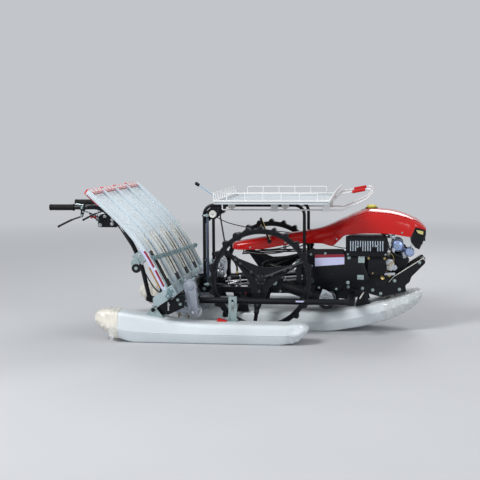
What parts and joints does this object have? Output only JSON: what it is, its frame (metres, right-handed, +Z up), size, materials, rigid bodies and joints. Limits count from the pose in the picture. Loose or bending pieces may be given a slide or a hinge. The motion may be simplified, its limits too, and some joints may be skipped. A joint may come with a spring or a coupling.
{
  "type": "walk-behind rice transplanter",
  "caption": "Walk-behind rice transplanter on floats, with lugged wheels on swing arms, red bonnet, sliding seedling tray, cranked planting arms and a white seedling rack.",
  "frame": {"origin": "on the ground below the middle of the bounding box", "axes": "+X forward in the direction of travel, +Y to the machine's left, +Z up"},
  "size_m": [2.36, 1.48, 0.939],
  "materials": {
    "float_plastic": "satin moulded plastic",
    "black_paint": "satin paint",
    "black_cast": "painted casting",
    "grey_cast": "as cast",
    "zinc": "zinc plated",
    "bright_steel": "ground",
    "black_plastic": "grained",
    "red_plastic": "gloss",
    "tray_plastic": "satin moulded plastic",
    "white_paint": "gloss paint",
    "nylon": "smooth",
    "black_rubber": "matt",
    "lamp_lens": "clear over pale yellow",
    "blue_paint": "gloss paint",
    "yellow_metal": "passivated"
  },
  "bodies": {
    "chassis": {"center_float": "float_plastic", "side_float_right": "float_plastic", "side_float_left": "float_plastic", "float_front_brackets": "zinc", "float_hinges": "zinc", "center_float_links": "black_paint", "main_frame": "black_paint", "side_rails": "black_paint", "rack_hoops": "black_paint", "rack_rollers": "nylon", "gearbox": "black_cast", "axle_housings": "grey_cast", "belt_cover": "black_plastic", "hydraulic_cylinder": "black_paint", "lift_linkage": "black_paint", "engine_block": "black_cast", "engine_fins": "grey_cast", "engine_guard": "black_plastic", "air_cleaner": "blue_paint", "carburettor": "grey_cast", "engine_bed": "black_paint", "front_guard": "black_paint", "bonnet": "red_plastic", "bonnet_stays": "black_paint", "nose_grille": "black_plastic", "headlamps": "lamp_lens", "fuel_cap": "yellow_metal", "drive_tube": "black_paint", "planting_beam": "black_paint", "planting_cases": "grey_cast", "gate_rail": "grey_cast", "tray_guides": "zinc", "handle_frame": "black_paint", "handle_grips": "black_rubber", "clutch_levers": "black_paint", "control_box": "black_plastic", "control_rods": "blue_paint"},
    "swing_right": {"swing_case_right": "black_cast"},
    "swing_left": {"swing_case_left": "black_cast"},
    "wheel_r": {"wheel_right": "black_paint"},
    "wheel_l": {"wheel_left": "black_paint"},
    "cranks": {"planting_cranks": "bright_steel"},
    "arms_a": {"planting_arms_a": "grey_cast"},
    "arms_b": {"planting_arms_b": "grey_cast"},
    "tray": {"tray_deck": "tray_plastic", "tray_caps": "red_plastic", "press_rods": "zinc", "feed_belts": "black_rubber"},
    "rack": {"rack_deck": "white_paint", "rack_fences": "white_paint", "rack_runners": "white_paint", "rack_grips": "red_plastic", "rack_lever": "bright_steel"}
  },
  "joints": [
    {"name": "swing_right_hinge", "type": "hinge", "parent": "chassis", "child": "swing_right", "pos_m": [0.571, -0.227, 0.208], "axis": [0, -1, 0], "range_deg": [0, 45]},
    {"name": "swing_left_hinge", "type": "hinge", "parent": "chassis", "child": "swing_left", "pos_m": [0.571, 0.227, 0.208], "axis": [0, -1, 0], "range_deg": [0, 45]},
    {"name": "wheel_right_spin", "type": "hinge", "parent": "swing_right", "child": "wheel_r", "pos_m": [0.1701, -0.3, 0.34604], "axis": [0, 1, 0], "continuous": true},
    {"name": "wheel_left_spin", "type": "hinge", "parent": "swing_left", "child": "wheel_l", "pos_m": [0.1701, 0.3, 0.34604], "axis": [0, 1, 0], "continuous": true},
    {"name": "crank_spin", "type": "hinge", "parent": "chassis", "child": "cranks", "pos_m": [-0.214, 0, 0.172], "axis": [0, 1, 0], "continuous": true},
    {"name": "arm_a_level", "type": "hinge", "parent": "cranks", "child": "arms_a", "pos_m": [-0.214, 0, 0.2], "axis": [0, 1, 0], "continuous": true},
    {"name": "arm_b_level", "type": "hinge", "parent": "cranks", "child": "arms_b", "pos_m": [-0.214, 0, 0.144], "axis": [0, 1, 0], "continuous": true},
    {"name": "tray_slide", "type": "slide", "parent": "chassis", "child": "tray", "axis": [0, 1, 0], "range_m": [-0.11, 0.11]},
    {"name": "rack_slide", "type": "slide", "parent": "chassis", "child": "rack", "axis": [1, 0, 0], "range_m": [-0.25, 0]}
  ],
  "couplings": [
    {"joint": "arm_a_level", "follows": "crank_spin", "ratio": -1},
    {"joint": "arm_b_level", "follows": "crank_spin", "ratio": -1}
  ]
}
